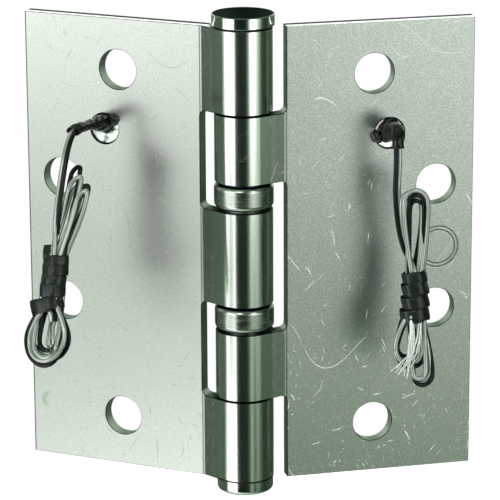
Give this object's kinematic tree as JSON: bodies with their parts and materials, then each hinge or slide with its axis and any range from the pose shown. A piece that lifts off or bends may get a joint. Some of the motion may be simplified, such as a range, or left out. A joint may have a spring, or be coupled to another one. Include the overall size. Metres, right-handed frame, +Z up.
{
  "type": "electrified hinge",
  "caption": "Ball-bearing butt hinge with square leaves, plain screw holes and a pair of tied wires leaving each leaf's back.",
  "frame": {"origin": "on the pin's axis at the hinge's mid height", "axes": "+Z up the pin to its head; the frame leaf runs along -X with its back face turned to -Y; the door leaf stands at +X, turned 37.8 degrees back from flat"},
  "size_m": [0.1049, 0.0763, 0.1206],
  "materials": {
    "leaf_steel": "satin, lightly scratched plated steel",
    "pin_steel": "smooth plated steel",
    "bearing_steel": "rolled and hardened steel",
    "ball_steel": "ground steel balls",
    "potting_resin": "clear glossy resin over bright metal",
    "shrink_sleeve": "glossy black heat-shrink",
    "wire_cover": "extruded wire insulation",
    "lead_cover": "thin sheath",
    "tape": "stretched vinyl tape",
    "tinned_copper": "bright frayed strands"
  },
  "bodies": {
    "frame_side": {"frame_leaf": "leaf_steel", "head_pin": "pin_steel", "main_pin": "pin_steel", "bottom_tip": "pin_steel", "upper_bearing_bottom_race": "bearing_steel", "lower_bearing_top_race": "bearing_steel", "lower_bearing_shell": "bearing_steel", "frame_potting": "potting_resin", "frame_sleeve": "shrink_sleeve", "frame_inner_lead": "lead_cover", "frame_wire_a": "wire_cover", "frame_wire_b": "wire_cover", "frame_hank": "wire_cover", "frame_tie": "tape", "frame_bare_ends": "tinned_copper"},
    "door_side": {"door_leaf": "leaf_steel", "upper_bearing_top_race": "bearing_steel", "upper_bearing_shell": "bearing_steel", "lower_bearing_bottom_race": "bearing_steel", "door_potting": "potting_resin", "door_sleeve": "shrink_sleeve", "door_inner_lead": "lead_cover", "door_wire_a": "wire_cover", "door_wire_b": "wire_cover", "door_hank": "wire_cover", "door_tie": "tape", "door_bare_ends": "tinned_copper"},
    "upper_balls": {"upper_bearing_balls": "ball_steel"},
    "lower_balls": {"lower_bearing_balls": "ball_steel"}
  },
  "joints": [
    {"name": "leaf_swing", "type": "hinge", "parent": "frame_side", "child": "door_side", "pos_m": [0, 0, 0], "axis": [0, 0, 1], "range_deg": [-127.8, 142.2]},
    {"name": "upper_ball_orbit", "type": "hinge", "parent": "frame_side", "child": "upper_balls", "pos_m": [0, 0, 0], "axis": [0, 0, 1], "range_deg": [-64, 71.2]},
    {"name": "lower_ball_orbit", "type": "hinge", "parent": "frame_side", "child": "lower_balls", "pos_m": [0, 0, 0], "axis": [0, 0, 1], "range_deg": [-64, 71.2]}
  ],
  "couplings": [
    {"joint": "upper_ball_orbit", "follows": "leaf_swing", "ratio": 0.5},
    {"joint": "lower_ball_orbit", "follows": "leaf_swing", "ratio": 0.5}
  ]
}
